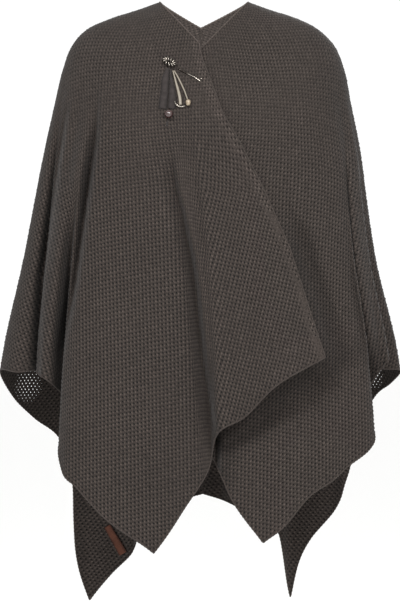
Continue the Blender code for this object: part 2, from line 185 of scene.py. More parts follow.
# The hem of each panel, from the free front corner round to the centre back. At its sharp corners it turns.
HEM_COLUMNS = "name turn x y drop"
SHARP_CORNERS = ["front_corner", "front_point", "back_point", "centre_back"]
OVER_HEM = [
    ("front_corner", -52, 209, -158, 618),
    ("flap", -33, 125, -190, 668),
    ("flap_inner", -19, 71, -202, 721),
    ("flap_fold", -8, 25, -208, 753),
    ("lap_valley", -2, 15, -183, 800),
    ("point_inner", 9, -32, -190, 878),
    ("front_point", 23, -84, -198, 952),
    ("point_outer", 40, -170, -196, 890),
    ("front_turn", 51, -216, -178, 840),
    ("side_turn", 58, -241, -152, 812),
    ("side_fold", 62, -247, -124, 770),
    ("side_inner", 65, -234, -92, 730),
    ("side_valley", 69, -239, -54, 692),
    ("arm_front", 73, -266, -98, 661),
    ("arm_fold", 76.5, -288, -82, 645),
    ("arm_valley", 80, -283, -44, 641),
    ("hand_front", 84, -318, -58, 645),
    ("hand", 91, -353, -8, 642),
    ("hand_back", 99, -331, 50, 692),
    ("arm_back", 106, -297, 84, 728),
    ("back_side", 113, -250, 104, 770),
    ("tail_side", 119, -231, 112, 848),
    ("tail_edge", 124, -224, 115, 969),
    ("back_point", 129, -201, 112, 1052),
    ("tail_hem", 134, -165, 104, 1007),
    ("tail_fold", 140, -127, 94, 968),
    ("tail_tuck", 148, -112, 150, 935),
    ("back_ridge", 155, -88, 184, 904),
    ("back_valley", 163, -56, 157, 886),
    ("seam_ridge", 172, -26, 181, 873),
    ("centre_back", 180, 0, 166, 865),
]
UNDER_HEM = [
    ("front_corner", -52, -186, -138, 617),
    ("flap", -34, -110, -161, 672),
    ("flap_inner", -14, -40, -169, 745),
    ("lap", 5, 22, -168, 803),
    ("point_inner", 16, 50, -176, 864),
    ("front_point", 29, 103, -185, 935),
    ("point_outer", 38, 142, -182, 904),
    ("front_side", 45, 180, -178, 858),
    ("front_turn", 54, 223, -160, 829),
    ("side_turn", 60, 247, -146, 807),
    ("side_hem", 67, 288, -120, 775),
    ("side_fold", 71, 296, -100, 755),
    ("side_valley", 76, 282, -58, 690),
    ("arm_front", 81, 323, -62, 622),
    ("arm_valley", 85, 312, -28, 638),
    ("hand", 91, 344, -4, 642),
    ("hand_back", 98, 329, 45, 666),
    ("arm_back", 104, 302, 78, 691),
    ("back_side", 109, 276, 94, 745),
    ("tail_side", 114, 256, 106, 832),
    ("tail_turn", 119, 233, 116, 892),
    ("tail_edge", 124, 190, 118, 945),
    ("tail_neck", 128, 170, 118, 985),
    ("back_point", 132, 156, 114, 1047),
    ("tail_fold", 140, 137, 100, 940),
    ("tail_tuck", 149, 104, 158, 908),
    ("back_ridge", 156, 82, 184, 898),
    ("back_valley", 164, 54, 158, 884),
    ("seam_ridge", 172, 27, 181, 874),
    ("centre_back", 180, 0, 166, 865),
]

# The free front edge of the over panel. The under panel's own edge lies a little closer to the middle.
EDGE_COLUMNS = "name drop x"
FRONT_EDGE = [
    ("crossing", 85, 0),
    ("pin", 140, 20),
    ("breast", 196, 39),
    ("bust", 250, 70),
    ("ribs", 331, 110),
    ("waist", 430, 152),
    ("hip", 532, 183),
    ("corner", 618, 209),
]
UNDER_EDGE_SHARE = 0.9


def smooth(at, values, where):
    """The values on a curve that passes through every one, with the slope of its neighbours there."""
    at, values = np.asarray(at, float), np.asarray(values, float)
    slopes = np.gradient(values, at)
    span = np.clip(np.searchsorted(at, where, side="right") - 1, 0, len(at) - 2)
    step = at[span + 1] - at[span]
    f = (where - at[span]) / step
    level = values[span] * (1 + 2 * f) * (1 - f) ** 2 + values[span + 1] * f * f * (3 - 2 * f)
    return level + slopes[span] * step * f * (1 - f) ** 2 - slopes[span + 1] * step * f * f * (1 - f)


def ease(low, high, value):
    """0 at low and 1 at high, level at both ends."""
    f = np.clip((value - low) / (high - low), 0, 1)
    return f * f * (3 - 2 * f)


def lengths(line):
    """How far along a line each of its points is."""
    return np.append(0, np.cumsum(np.linalg.norm(np.diff(line, axis=0), axis=1)))


def table(columns, rows):
    """The columns of a table by name, as arrays."""
    return {name: np.array(values) for name, values in zip(columns.split(), zip(*rows))}


ring = table(RING_COLUMNS, RINGS)
RUNS = (("over_side", "side_drop"), ("front", "front_drop"), ("back", "back_drop"))
steps = sum(np.hypot(np.diff(ring[out]), np.diff(ring[drop])) for out, drop in RUNS) / len(RUNS)
ring["path"] = np.append(0, np.cumsum(steps))


def form(turn, path, hand):
    """x, y and drop on the worn form. hand is -1 for the over panel's arm and 1 for the other."""
    names = RING_COLUMNS.split()[1:]
    at = {name: smooth(ring["path"], ring[name], path) for name in names}
    sin, cos = np.sin(np.radians(turn)), np.cos(np.radians(turn))
    side = np.where(sin * hand < 0, at["over_side"], at["under_side"])
    depth = np.where(cos > 0, at["front"], at["back"])
    drop = np.where(cos > 0, at["front_drop"], at["back_drop"])
    power = at["square"]
    reach = (np.abs(sin / side) ** power + np.abs(cos / depth) ** power) ** (-1 / power)
    out = np.clip(np.abs(reach * sin) / side, 0, 1) ** at["rise"]
    return hand * reach * sin, -reach * cos, drop + (at["side_drop"] - drop) * out


def path_at(turn, drop, hand):
    """How far down the form a column reaches a drop."""
    low, high = np.zeros_like(drop), np.full_like(drop, ring["path"][-1] + PATH_SPARE)
    for _ in range(PATH_ROUNDS):
        middle = (low + high) / 2
        above = form(turn, middle, hand)[2] < drop
        low, high = np.where(above, middle, low), np.where(above, high, middle)
    return (low + high) / 2


def fold_share(drop):
    """How deep the folds are at a drop, against their depth at the hem."""
    return np.clip((drop - FOLD_START) / (FOLD_FULL - FOLD_START), 0, None) ** FOLD_POWER


def raised(turn, path, hand):
    """The form, with the over panel standing outside the under one across the front."""
    x, y, drop = form(turn, path, hand)
    if hand < 0:
        up = LAP_UP * (1 - ease(0, LAP_UP_END, path))
        out = LAP * (1 - ease(LAP_FULL, LAP_END, turn)) / np.hypot(1, up)
        sin, cos = np.sin(np.radians(turn)), np.cos(np.radians(turn))
        x, y, drop = x + hand * sin * out, y - cos * out, drop - up * out
    return x, y, drop


def edge_turn(path, hand):
    """The turn of the free front edge at each point down the form."""
    edge = table(EDGE_COLUMNS, FRONT_EDGE)
    reach = edge["x"] * (1 if hand < 0 else UNDER_EDGE_SHARE)
    turn = np.zeros_like(path)
    for _ in range(EDGE_ROUNDS):
        x, y, drop = raised(turn, path, hand)
        turn = -np.degrees(np.arctan2(np.interp(drop, edge["drop"], reach), -y))
    return turn


def columns_of(rows):
    """turn, x, y and drop of each fine column on the hem, evenly spaced between the corners, and the
    numbers of the corner columns."""
    hem = table(HEM_COLUMNS, rows)
    turns = hem["turn"]
    sharp = np.flatnonzero(np.isin(hem["name"], SHARP_CORNERS))
    pieces, ends = [], [0]
    for first, last in zip(sharp, sharp[1:]):
        fine = np.linspace(turns[first], turns[last], HEM_POINTS)
        inside = slice(first, last + 1)
        drop = smooth(turns[inside], hem["drop"][inside], fine)
        points = np.stack([fine, smooth(turns, hem["x"], fine), smooth(turns, hem["y"], fine), drop])
        length = lengths(points[1:].T)
        count = max(3, round(length[-1] / COLUMN_STEP)) * FINER
        even = np.linspace(0, length[-1], count + 1)
        piece = np.stack([np.interp(even, length, row) for row in points])
        pieces.append(piece if last == sharp[-1] else piece[:, :-1])
        ends.append(ends[-1] + count)
    return np.concatenate(pieces, axis=1), ends


def surface(hem, hand):
    """The outer face as a grid of points in metres, from the neck and front edge down to the hem."""
    (turn, x, y, drop), ends = columns_of(hem)
    point_turn = turn[ends[1]]
    shift = np.clip((point_turn - turn) / (point_turn - turn[0]), 0, 1)
    bottom = path_at(turn, drop, hand)
    at_hem = raised(turn, bottom, hand)
    offset = [(x - at_hem[0]) / fold_share(drop), (y - at_hem[1]) / fold_share(drop)]
    corner = edge_turn(bottom[:1], hand)[0]

    f = np.linspace(0, 1, ROWS * FINER + 1)[:, None]
    path = bottom * (TOP_ROW_SHARE * f + (1 - TOP_ROW_SHARE) * f * f)
    turns = turn + shift * (edge_turn(path, hand) - corner)
    px, py, pdrop = raised(turns, path, hand)
    px, py = px + offset[0] * fold_share(pdrop), py + offset[1] * fold_share(pdrop)
    grid = np.stack([px, py, -pdrop], axis=-1) * MM
    grid[:, -1, 0] = hand * SEAM_GAP / 2 * MM
    grid[..., 0] -= NECK_LEAN * MM * (1 - ease(0, LEAN_END * MM, -grid[..., 2]))
    return grid, ends


# Creases where a fold tucks behind the next one: the name, the panel (-1 over, 1 under, 0 both), the face
# (-1 front, 1 back), how deep, how wide to the left and to the right, and down its line x, drop and the
# share of the depth. A negative depth is a ridge.
CREASES = [
    ("arm_outer", 0, -1, 28, 9, 4,
     [(-231, 160, 0), (-249, 270, 1), (-263, 370, 1), (-279, 480, 1), (-286, 645, 1)]),
    ("arm_middle", 0, -1, -28, 16, 14,
     [(-206, 200, 0), (-230, 345, 1), (-246, 450, 0.7), (-255, 560, 0.4), (-264, 645, 0)]),
    ("arm_inner", 0, -1, 42, 14, 4,
     [(-180, 130, 0), (-184, 240, 0.6), (-199, 345, 1), (-218, 485, 1), (-238, 590, 0.5), (-247, 660, 0)]),
    ("flap_fold", 0, -1, 19, 18, 5,
     [(-60, 240, 0), (-47, 330, 1), (-35, 372, 1), (-18, 450, 1), (-9, 518, 1), (8, 674, 1), (24, 760, 1)]),
    ("flap_fill", -1, -1, -16, 6, 16,
     [(-44, 300, 0), (-22, 400, 0.65), (-11, 450, 0.85), (-3, 500, 1), (6, 600, 0.9), (15, 700, 0)]),
    ("flap_soft", 0, -1, 4, 16, 20,
     [(40, 310, 0), (60, 440, 1), (84, 560, 1), (100, 680, 1)]),
    ("flap_lift", -1, -1, -18, 55, 70,
     [(230, 500, 0), (205, 600, 1), (150, 660, 1), (90, 720, 0)]),
    ("belly_soft", 0, -1, 4, 22, 22,
     [(-128, 400, 0), (-130, 520, 1), (-110, 760, 1), (-96, 900, 1)]),
    ("under_flap", 1, -1, 38, 60, 110,
     [(250, 580, 0), (196, 655, 1), (130, 710, 0.8), (76, 760, 0.4), (30, 795, 0)]),
    ("under_lap", 1, -1, 20, 20, 24,
     [(118, 300, 0), (147, 373, 0.5), (173, 433, 1), (205, 528, 1), (221, 580, 0.8), (234, 640, 0)]),
    ("under_fill", 0, -1, -32, 5, 20,
     [(248, 220, 0), (254, 300, 0.6), (260, 400, 1), (268, 485, 1), (281, 560, 1), (292, 650, 0)]),
    ("under_outer", 0, -1, 4, 5, 8,
     [(262, 310, 0), (281, 420, 1), (299, 540, 1), (312, 640, 1)]),
    ("under_soft", 0, -1, 5, 20, 16,
     [(150, 360, 0), (172, 520, 1), (186, 680, 1), (200, 840, 1)]),
    ("back_over_side", 0, 1, 10, 7, 13,
     [(-150, 210, 0), (-170, 320, 1), (-206, 540, 1), (-226, 720, 1)]),
    ("back_over", 0, 1, 11, 19, 9,
     [(-66, 190, 0), (-82, 330, 1), (-110, 620, 1), (-120, 960, 1)]),
    ("back_over_seam", 0, 1, 6, 9, 17,
     [(-33, 390, 0), (-40, 520, 1), (-50, 700, 1), (-57, 890, 1)]),
    ("back_under_side", 0, 1, 11, 12, 7,
     [(166, 190, 0), (183, 300, 1), (214, 520, 1), (246, 760, 1)]),
    ("back_under", 0, 1, 7, 9, 24,
     [(84, 330, 0), (93, 450, 1), (112, 680, 1), (120, 900, 1)]),
    ("back_under_seam", 0, 1, 9, 15, 8,
     [(26, 240, 0), (33, 370, 1), (48, 690, 1), (54, 885, 1)]),
]
CREASE_REACH = 90  # a crease fades out over this depth of the body


def creased(points, own_hand):
    """A panel's points pushed in towards the middle of the body at the creases."""
    x, y, drop = points[..., 0] / MM, points[..., 1] / MM, -points[..., 2] / MM
    for _, hand, face, deep, left, right, line in CREASES:
        if hand not in (0, own_hand):
            continue
        across, down, shares = np.array(line).T
        off = x - np.interp(drop, down, across)
        push = deep * ease(0, 1, np.interp(drop, down, shares))
        push = push * np.exp(-((off / np.where(off < 0, left, right)) ** 2))
        y = y - face * push * ease(-CREASE_REACH / 2, CREASE_REACH / 2, face * y)
    return np.stack([points[..., 0], y * MM, points[..., 2]], axis=-1)


def cells_of(grid):
    """The numbers of the four corners of every cell of a grid of points, in turn round the cell."""
    number = np.arange(grid[..., 0].size).reshape(grid.shape[:2])
    return [part.ravel() for part in (number[:-1, :-1], number[1:, :-1], number[1:, 1:], number[:-1, 1:])]


def halves_of(grid):
    """The numbers of the corners of two triangles in every cell of a grid of points."""
    a, b, c, d = cells_of(grid)
    return np.concatenate([np.stack(face, axis=1) for face in ((a, b, c), (a, c, d))])


def facing(points, faces):
    """Each triangle's normal, twice as long as the triangle's area."""
    one, two, three = (points[faces[:, k]] for k in range(3))
    return np.cross(two - one, three - one)


def normals_of(grid, hand):
    """Outward unit normals, from the faces round each point."""
    faces = halves_of(grid)
    normals, total = facing(grid.reshape(-1, 3), faces), np.zeros((grid[..., 0].size, 3))
    for k in range(3):
        np.add.at(total, faces[:, k], normals)
    return -hand * (total / np.linalg.norm(total, axis=1, keepdims=True)).reshape(grid.shape)


FLAT_ROUNDS, SHORTEST = 60, 2 * MM  # a shorter side pulls no harder than this one


def flattened(coarse, corner):
    """The coarse grid's points laid flat in metres, as complex numbers, each triangle as near as it can be
    to its own shape. The start is the cut panel's outline. Each round turns every triangle's shape to fit
    its place, and then moves all the points to suit the turned shapes."""
    rows, cols = coarse.shape[:2]
    down = np.linalg.norm(np.diff(coarse, axis=0), axis=-1)
    along = np.vstack([np.zeros(cols), np.cumsum(down, axis=0)])
    neck, hem = lengths(coarse[0]), lengths(coarse[-1])
    front, seam, deep = along[-1, 0], along[-1, -1], hem[corner[1]]
    full = front + neck[-1] + seam
    places = [0, 1j * deep, full + 1j * deep, full]
    bottom = np.interp(hem, hem[corner], np.real(places)) + 1j * np.interp(hem, hem[corner], np.imag(places))
    top = front + neck
    flat = (top + (bottom - top) * along / along[-1]).ravel()

    a, b, c, d = cells_of(coarse)
    faces = np.concatenate([np.stack(face, axis=1) for face in ((a, b, c), (a, c, d), (b, c, d), (b, d, a))])
    points = coarse.reshape(-1, 3)
    one, two = points[faces[:, 1]] - points[faces[:, 0]], points[faces[:, 2]] - points[faces[:, 0]]
    side = np.linalg.norm(one, axis=1)
    ahead, aside = (one * two).sum(1) / side, 1j * np.linalg.norm(np.cross(one, two), axis=1) / side
    shape = np.stack([0 * side, side, ahead - aside])
    first = np.concatenate([faces[:, k] for k in range(3)])
    second = np.concatenate([faces[:, k - 1] for k in range(3)])
    own = np.concatenate([shape[k] - shape[k - 1] for k in range(3)])
    stiff = 1 / np.maximum(np.abs(own), SHORTEST)
    count = rows * cols
    pull = np.zeros((count, count))
    for i, j, sign in ((first, first, 1), (second, second, 1), (first, second, -1), (second, first, -1)):
        pull += sign * np.bincount(i * count + j, stiff, count * count).reshape(count, count)
    answer = np.linalg.inv(pull + 1 / count)
    for _ in range(FLAT_ROUNDS):
        fit = ((flat[first] - flat[second]) * own.conj() * stiff).reshape(3, -1).sum(0)
        wanted = own * stiff * np.tile(fit / np.abs(fit), 3)
        force = sum(
            sign * (np.bincount(at, wanted.real, count) + 1j * np.bincount(at, wanted.imag, count))
            for at, sign in ((first, 1), (second, -1))
        )
        flat = answer @ force
    return flat.reshape(rows, cols)


STITCH_WIDE, STITCH_TALL = 6.5 * MM, 7.0 * MM  # from one pit to the next, across and down
STRAIGHT_Y, STRAIGHT_DROP = -100, 250  # the columns hang straight in front of one and below the other
ROW_RISE, FLAP_RISE = 0.17, 0.02  # the rows rise this steeply towards the middle of the body
TIGHT, TIGHT_X, TIGHT_DROP, TIGHT_END = 0.25, 150, 250, 340  # the columns are this much closer on the chest
FOLD_TOP, FOLD_FOOT = (-43, 170), (7, 759)  # x and drop of the ends of the fold that the flap is drawn into
FLAP_TWIST = math.radians(12)  # the flap's stitches are turned this far against the belly's
TWIST_FROM, TWIST_TO, TWIST_FULL = -14 * MM, 22 * MM, 160 * MM  # across the fold's line, and down it


def nearest(grid, x, drop):
    """The row and column of the front's grid point nearest to x and drop."""
    away = np.hypot(grid[..., 0] - x * MM, grid[..., 2] + drop * MM) + (grid[..., 1] > 0)
    return np.unravel_index(away.argmin(), away.shape)


def finer(values):
    """A coarse grid's values on the fine grid."""
    for axis in (0, 1):
        at = np.arange((values.shape[axis] - 1) * FINER + 1) / FINER
        low = np.minimum(at.astype(int), values.shape[axis] - 2)
        share = (at - low).reshape((-1, 1) if axis == 0 else (1, -1))
        values = values.take(low, axis) * (1 - share) + values.take(low + 1, axis) * share
    return values


def lattice(flat, rise):
    """The number of stitches across and down at flat places."""
    return flat.real / STITCH_WIDE, (flat.imag - rise * flat.real) / STITCH_TALL


def stitches_of(grid, flat, hand):
    """Where each grid point lies on the knit, in stitches: across is the real part and down the imaginary
    one. The columns of stitches hang straight down on the front. The flap's fold swallows a wedge of
    them."""
    front = (grid[..., 1] < STRAIGHT_Y * MM) & (grid[..., 2] < -STRAIGHT_DROP * MM)
    fit = np.stack([flat[front].real, flat[front].imag, np.ones(front.sum())], axis=1)
    down = complex(*np.linalg.lstsq(fit, -grid[..., 2][front], rcond=None)[0][:2])
    flat = flat * 1j * abs(down) / down
    top, foot = flat[nearest(grid, *FOLD_TOP)], flat[nearest(grid, *FOLD_FOOT)]
    line, flat = (foot - top) / abs(foot - top), flat - top
    across, row = lattice(flat, ROW_RISE)
    if hand < 0:
        twist = np.exp(1j * FLAP_TWIST)
        turned_across, turned_row = lattice(flat * twist, FLAP_RISE)
        turned_row *= lattice(line, ROW_RISE)[1] / lattice(line * twist, FLAP_RISE)[1]
        along = flat * line.conj()
        share = ease(TWIST_FROM, TWIST_TO, along.imag) * ease(0, TWIST_FULL, along.real)
        across, row = across + (turned_across - across) * share, row + (turned_row - row) * share
    tight = TIGHT * (1 - ease(TIGHT_END * MM / 2, TIGHT_END * MM, -grid[..., 2]))
    across += tight * (across - across[nearest(grid, hand * TIGHT_X, TIGHT_DROP)])
    return across + 1j * row


def sampler(grid, outward, flat):
    """What finds the point, the normal, and whether there is cloth, at each place on the flattened grid."""
    faces, fields = halves_of(grid), (grid.reshape(-1, 3), outward.reshape(-1, 3))
    tree = BVHTree.FromPolygons([(w.real, w.imag, 0) for w in flat], faces.tolist())

    def found(places):
        hits = [tree.ray_cast((w.real, w.imag, 1), (0, 0, -1))[2] for w in places]
        face = faces[[hit or 0 for hit in hits]]
        to = [flat[face[:, k]] - places for k in range(3)]
        shares = np.stack([(to[k - 2].conj() * to[k - 1]).imag for k in range(3)], axis=1)
        shares /= shares.sum(axis=1, keepdims=True)
        place, normal = ((field[face] * shares[..., None]).sum(1) for field in fields)
        return place, normal, np.array([hit is not None for hit in hits])

    return found


def to_edge(places, rim):
    """For each place, the step of the rim that it is nearest to, and how far along that step."""
    step = np.roll(rim, -1) - rim
    offset = places[:, None] - rim
    share = np.clip((offset * step.conj()).real / np.abs(step) ** 2, 0, 1)
    best = np.abs(offset - share * step).argmin(axis=1)
    return best, share[np.arange(len(places)), best]


# The height of the knit at every half stitch, from 0 in a pit to 1 on a strand: where four stitches meet,
# between two pits of one column, between two of one row, and in the pit.
MEETING, BESIDE_COLUMN, BESIDE_ROW, PIT = 0.9, 0.75, 1.0, 0.0
RELIEF, LEVEL = 1.9 * MM, 0.6  # from a pit to a strand, and the height that lies on the cloth's middle
SEED, UNEVEN = 7, 0.1  # no two strands catch the same light
JITTER = 0.06  # and each lies this far from its place, in half stitches
BORDER = 0.6  # the height of the plain last row
CROWDED = 0.1  # stitches pressed flat keep this much of their relief
SMALLEST = 0.01 * MM * MM  # no face is smaller
# The stitches lie closer shut up to the shoulders, and come open down to this drop. Some patches are closer
# than others, and so is the strip beside the front edge, which is also given a painted light.
CLOSED, CLOSED_END = 0.42, 420
PATCH, PATCH_WIDE = 0.3, 70
BESIDE, BESIDE_WIDE, BESIDE_PAINTED_LIGHT = 0.8, 20, 0.22
# Near the over panel's edges the under panel is given a painted shadow, from this drop on.
LAP_SHADOW_DARK, LAP_SHADOW_WIDE, LAP_SHADOW_TOP, LAP_SHADOW_FULL = 0.27, 56, 330, 460
# The arms stretch the pits open into holes where the hands come out: x, y, drop and reach.
OPEN_PLACES = [(-308, 72, 671, 32), (300, 76, 655, 24), (262, -120, 762, 16)]
HOLE = 0.27  # the size of the largest hole against the distance to the strands round it


def pierced(faces, size, fields):
    """The faces and the fields of the points, with a hole cut round each point that has a size. It takes
    that share of the way to the points round it."""
    opened = np.concatenate([np.roll(faces[size[faces[:, k]] > 0], -k, axis=1) for k in range(3)])
    whole = faces[(size[faces] == 0).all(axis=1)]
    ways = np.concatenate([opened[:, [0, 1]], opened[:, [0, 2]]])
    pairs, pair = np.unique(ways, axis=0, return_inverse=True)
    near, far = pair.ravel().reshape(2, -1) + len(size)
    share = size[pairs[:, 0]]
    lips = [(field[pairs[:, 0]].T * (1 - share) + field[pairs[:, 1]].T * share).T for field in fields]
    one, two = opened[:, 1], opened[:, 2]
    faces = np.concatenate([whole, np.stack([near, one, two], axis=1), np.stack([near, two, far], axis=1)])
    return faces, [np.concatenate(both) for both in zip(fields, lips)]


def away(points, line):
    """How many millimetres each point is from the nearest point of a line."""
    return np.linalg.norm(points[:, None] - line, axis=2).min(axis=1) / MM


def keep(made, name, values):
    """Values kept at a piece's points for its material, one or three at each."""
    kind, field = ("FLOAT", "value") if values.ndim == 1 else ("FLOAT_VECTOR", "vector")
    made.data.attributes.new(name, kind, "POINT").data.foreach_set(field, values.ravel().astype(np.float32))


def knitted(name, grid, outward, stitches, sharp, material, lap=None):
    """The net of stitches on a grid, as a finer grid of half stitches with its points raised or sunk. The
    edges of the panel that laps over it may be given."""
    flat = 2 * stitches.ravel()
    found = sampler(grid, outward, flat)
    # Every corner of a square of the net that lies on the cloth, each a little out of its place.
    low = np.floor([flat.real.min(), flat.imag.min()]).astype(int) - 1
    wide, tall = np.ceil([flat.real.max(), flat.imag.max()]).astype(int) + 1 - low
    u, v = np.meshgrid(np.arange(wide), np.arange(tall), indexing="ij")
    kept = found((u + low[0] + 0.5 + 1j * (v + low[1] + 0.5)).ravel())[2].reshape(wide, tall)
    around = np.zeros((wide + 1, tall + 1), int)
    for k, m in ((0, 0), (0, 1), (1, 0), (1, 1)):
        around[k : k + wide, m : m + tall] += kept
    used = np.argwhere(around > 0)
    at = tuple(used.T)
    index = np.zeros(around.shape, int)
    index[at] = np.arange(len(used))
    uneven = np.random.default_rng(SEED).standard_normal((3, len(used)))
    places = used[:, 0] + low[0] + JITTER * uneven[0] + 1j * (used[:, 1] + low[1] + JITTER * uneven[1])
    place, normal, inside = found(places)
    inner = inside & (around[at] == 4)

    # Those past the rim are drawn to it, and the sharp corners are kept.
    number = np.arange(len(flat)).reshape(grid.shape[:2])
    rim = np.concatenate([number[0], number[1:, -1], number[-1, -2::-1], number[-2:0:-1, 0]])
    edge = np.flatnonzero(~inner)
    step, share = to_edge(places[edge], flat[rim])
    after = np.roll(rim, -1)
    for tip in sharp:
        closest = np.abs(places[edge] - flat[tip]).argmin()
        step[closest], share[closest] = np.flatnonzero(rim == tip)[0], 0
    lie = places / 2
    points, normals = grid.reshape(-1, 3), outward.reshape(-1, 3)
    for field, values in ((place, points), (normal, normals), (lie[:, None], flat[:, None] / 2)):
        field[edge] = values[rim[step]] * (1 - share[:, None]) + values[after[step]] * share[:, None]
    lie[inner] = (used[inner] + low) @ (0.5, 0.5j)

    # The points are raised or sunk, and less where the cloth is drawn together.
    net = np.full((*around.shape, 3), np.nan)
    net[at] = place
    spans = [np.linalg.norm(np.roll(net, -1, k) - np.roll(net, 1, k), axis=-1) for k in (0, 1)]
    crowded = np.minimum(spans[0] / STITCH_WIDE, spans[1] / STITCH_TALL)[at]
    crowded = np.clip(np.nan_to_num(crowded, nan=1.0), CROWDED, 1)
    odd = (used + low) % 2
    pattern = np.array([[MEETING, BESIDE_ROW], [BESIDE_COLUMN, PIT]])
    height = np.where(inner, pattern[odd[:, 0], odd[:, 1]] + UNEVEN * uneven[2], BORDER)
    place += normal * (RELIEF * (height - LEVEL) * crowded * inner)[:, None]
    light = 1 + UNEVEN * uneven[2]

    # Two faces in every square. Each diagonal runs into a pit.
    square = np.argwhere(kept)
    a, b, c, d = (index[square[:, 0] + k, square[:, 1] + m] for k, m in ((0, 0), (1, 0), (1, 1), (0, 1)))
    through = ((square + low).sum(axis=1) % 2 == 0)[:, None]
    pairs = (((a, b, c), (a, b, d)), ((a, c, d), (b, c, d)))
    faces = [np.where(through, np.stack(one, axis=1), np.stack(two, axis=1)) for one, two in pairs]
    faces = np.concatenate(faces)
    faces = faces[np.linalg.norm(facing(place, faces), axis=1) / 2 > SMALLEST]

    # Where the hands come out, the pits are cut through.
    pit = inner & (odd.sum(axis=1) == 2)
    hole = np.zeros(len(used))
    for x, y, drop, reach in OPEN_PLACES:
        near = np.linalg.norm(place / MM - (x, y, -drop), axis=1) / reach
        hole = np.maximum(hole, pit * HOLE * np.sqrt(np.clip(1 - near**2, 0, 1)))
    faces, (place, lie, light) = pierced(faces, np.where(hole > HOLE / 4, hole, 0), (place, lie, light))
    if (facing(place, faces) * normal[np.minimum(faces[:, 1], len(used) - 1)]).sum() < 0:
        faces = faces[:, ::-1]
    made = shape_of(name, place, faces.tolist(), material)

    # The material reads where each point is in its stitch, how far the pits there are shut, and a shade,
    # which holds a painted light beside the front edge and a painted shadow near the over panel's edges.
    drop = -place[:, 2] / MM
    patch = np.array([noise.noise(Vector(point) / (PATCH_WIDE * MM)) for point in place])
    shut = CLOSED * (1 - ease(CLOSED_END / 3, CLOSED_END, drop)) + PATCH * (patch + 0.5).clip(0, 1)
    beside = 1 - ease(BESIDE_WIDE / 2, BESIDE_WIDE, away(place, grid[::2, 0]))
    # The strip beside the front edge gets a painted light.
    light *= 1 + BESIDE_PAINTED_LIGHT * beside
    if lap is not None:
        # A painted shadow on the under panel near the over panel's edges.
        lap_shadow = 1 - ease(LAP_SHADOW_WIDE / 2, LAP_SHADOW_WIDE, away(place[:, ::2], lap[:, ::2]))
        light *= 1 - LAP_SHADOW_DARK * lap_shadow * (place[:, 1] < 0) * ease(LAP_SHADOW_TOP, LAP_SHADOW_FULL, drop)
    keep(made, "stitch", np.stack([lie.real, lie.imag, shut + BESIDE * beside], axis=1))
    keep(made, "shade", light)
    return made


ASKEW = (0.3, 0.2, 0.93)  # no line here starts in this direction


def frames_of(line, closed=False):
    """Two unit vectors across a line at each of its points, turning as little as they can."""
    along = np.roll(line, -1, axis=0) - np.roll(line, 1, axis=0) if closed else np.gradient(line, axis=0)
    along /= np.linalg.norm(along, axis=1, keepdims=True)
    side, sides = np.cross(along[0], ASKEW), []
    for way in along:
        side = side - way * np.dot(side, way)
        side = side / np.linalg.norm(side)
        sides.append(side)
    return np.array(sides), np.cross(along, sides)


def tube(line, radii, around, lobes=0.0, turns=0.0, closed=False):
    """Rings round a line. With lobes, the section is two wires laid side by side, which turn about each
    other."""
    side, other = frames_of(line, closed)
    angle = np.linspace(0, 2 * math.pi, around, endpoint=False)[None, :, None]
    lay = (turns * 2 * math.pi * np.arange(len(line)) / len(line))[:, None, None]
    reach = np.asarray(radii, float)[:, None, None] * (1 - lobes * np.sin(angle - lay) ** 2)
    return line[:, None] + reach * (np.cos(angle) * side[:, None] + np.sin(angle) * other[:, None])


def loft(name, rings, material, node=None, shade=0.0, closed=False):
    """A solid through rings of points, with its two ends filled unless it is closed. It stands for a CAD
    node if one is named. Shade is kept for its material."""
    count, around = rings.shape[:2]
    number = np.arange(count * around).reshape(count, around)
    after = np.roll(number, -1, axis=0)
    after[-1] = np.roll(after[-1], -np.linalg.norm(rings[0] - rings[-1, 0], axis=1).argmin())
    sides = np.stack([number, np.roll(number, -1, axis=1), np.roll(after, -1, axis=1), after], axis=-1)
    faces = sides[: None if closed else -1].reshape(-1, 4).tolist()
    if not closed:
        faces += [number[0, ::-1].tolist(), number[-1].tolist()]
    made = shape_of(name, rings.reshape(-1, 3), faces, material)
    solid = bmesh.new()
    solid.from_mesh(made.data)
    bmesh.ops.recalc_face_normals(solid, faces=solid.faces)
    solid.to_mesh(made.data)
    solid.free()
    keep(made, "shade", np.broadcast_to(shade, (count, around)).ravel())
    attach(made, "root")
    if node:
        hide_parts(node)
    return made


def along_line(line, places, *fields):
    """The fields' values at places along a line, each evenly spaced in length."""
    length = lengths(line)
    at = np.asarray(places) * length[-1]
    return [np.stack([np.interp(at, length, field[:, k]) for k in range(3)], axis=1) for field in fields]


EDGE_THICK, EDGE_BUMP, EDGE_STEP, EDGE_SIDES = 1.3 * MM, 0.35 * MM, 2.1 * MM, 6
# The rolled edge is drawn lighter than the knit, a painted highlight along its cord, strongest at the neck.
EDGE_HIGHLIGHT, NECK_HIGHLIGHT, NECK_END = 1.25, 1.9, 130  # the edge is lighter than the knit, most so at the neck


def rolled(name, grid):
    """The edge of a panel, where the knit's last loops roll into a fine cord: round the hem, up the front
    and along the neck."""
    line = np.concatenate([grid[-1, ::-1], grid[-2::-1, 0], grid[0, 1:]])
    length = lengths(line)[-1]
    share = np.linspace(0, 1, round(length / EDGE_STEP) + 1)
    line = along_line(line, share, line)[0]
    thick = EDGE_THICK + EDGE_BUMP * np.cos(2 * math.pi * share * length / STITCH_WIDE)
    # A painted highlight along the cord, strongest at the neck.
    tone = NECK_HIGHLIGHT + (EDGE_HIGHLIGHT - NECK_HIGHLIGHT) * ease(NECK_END / 2, NECK_END, -line[:, 2] / MM)
    return loft(name, tube(line, thick, EDGE_SIDES), yarn, shade=tone[:, None])


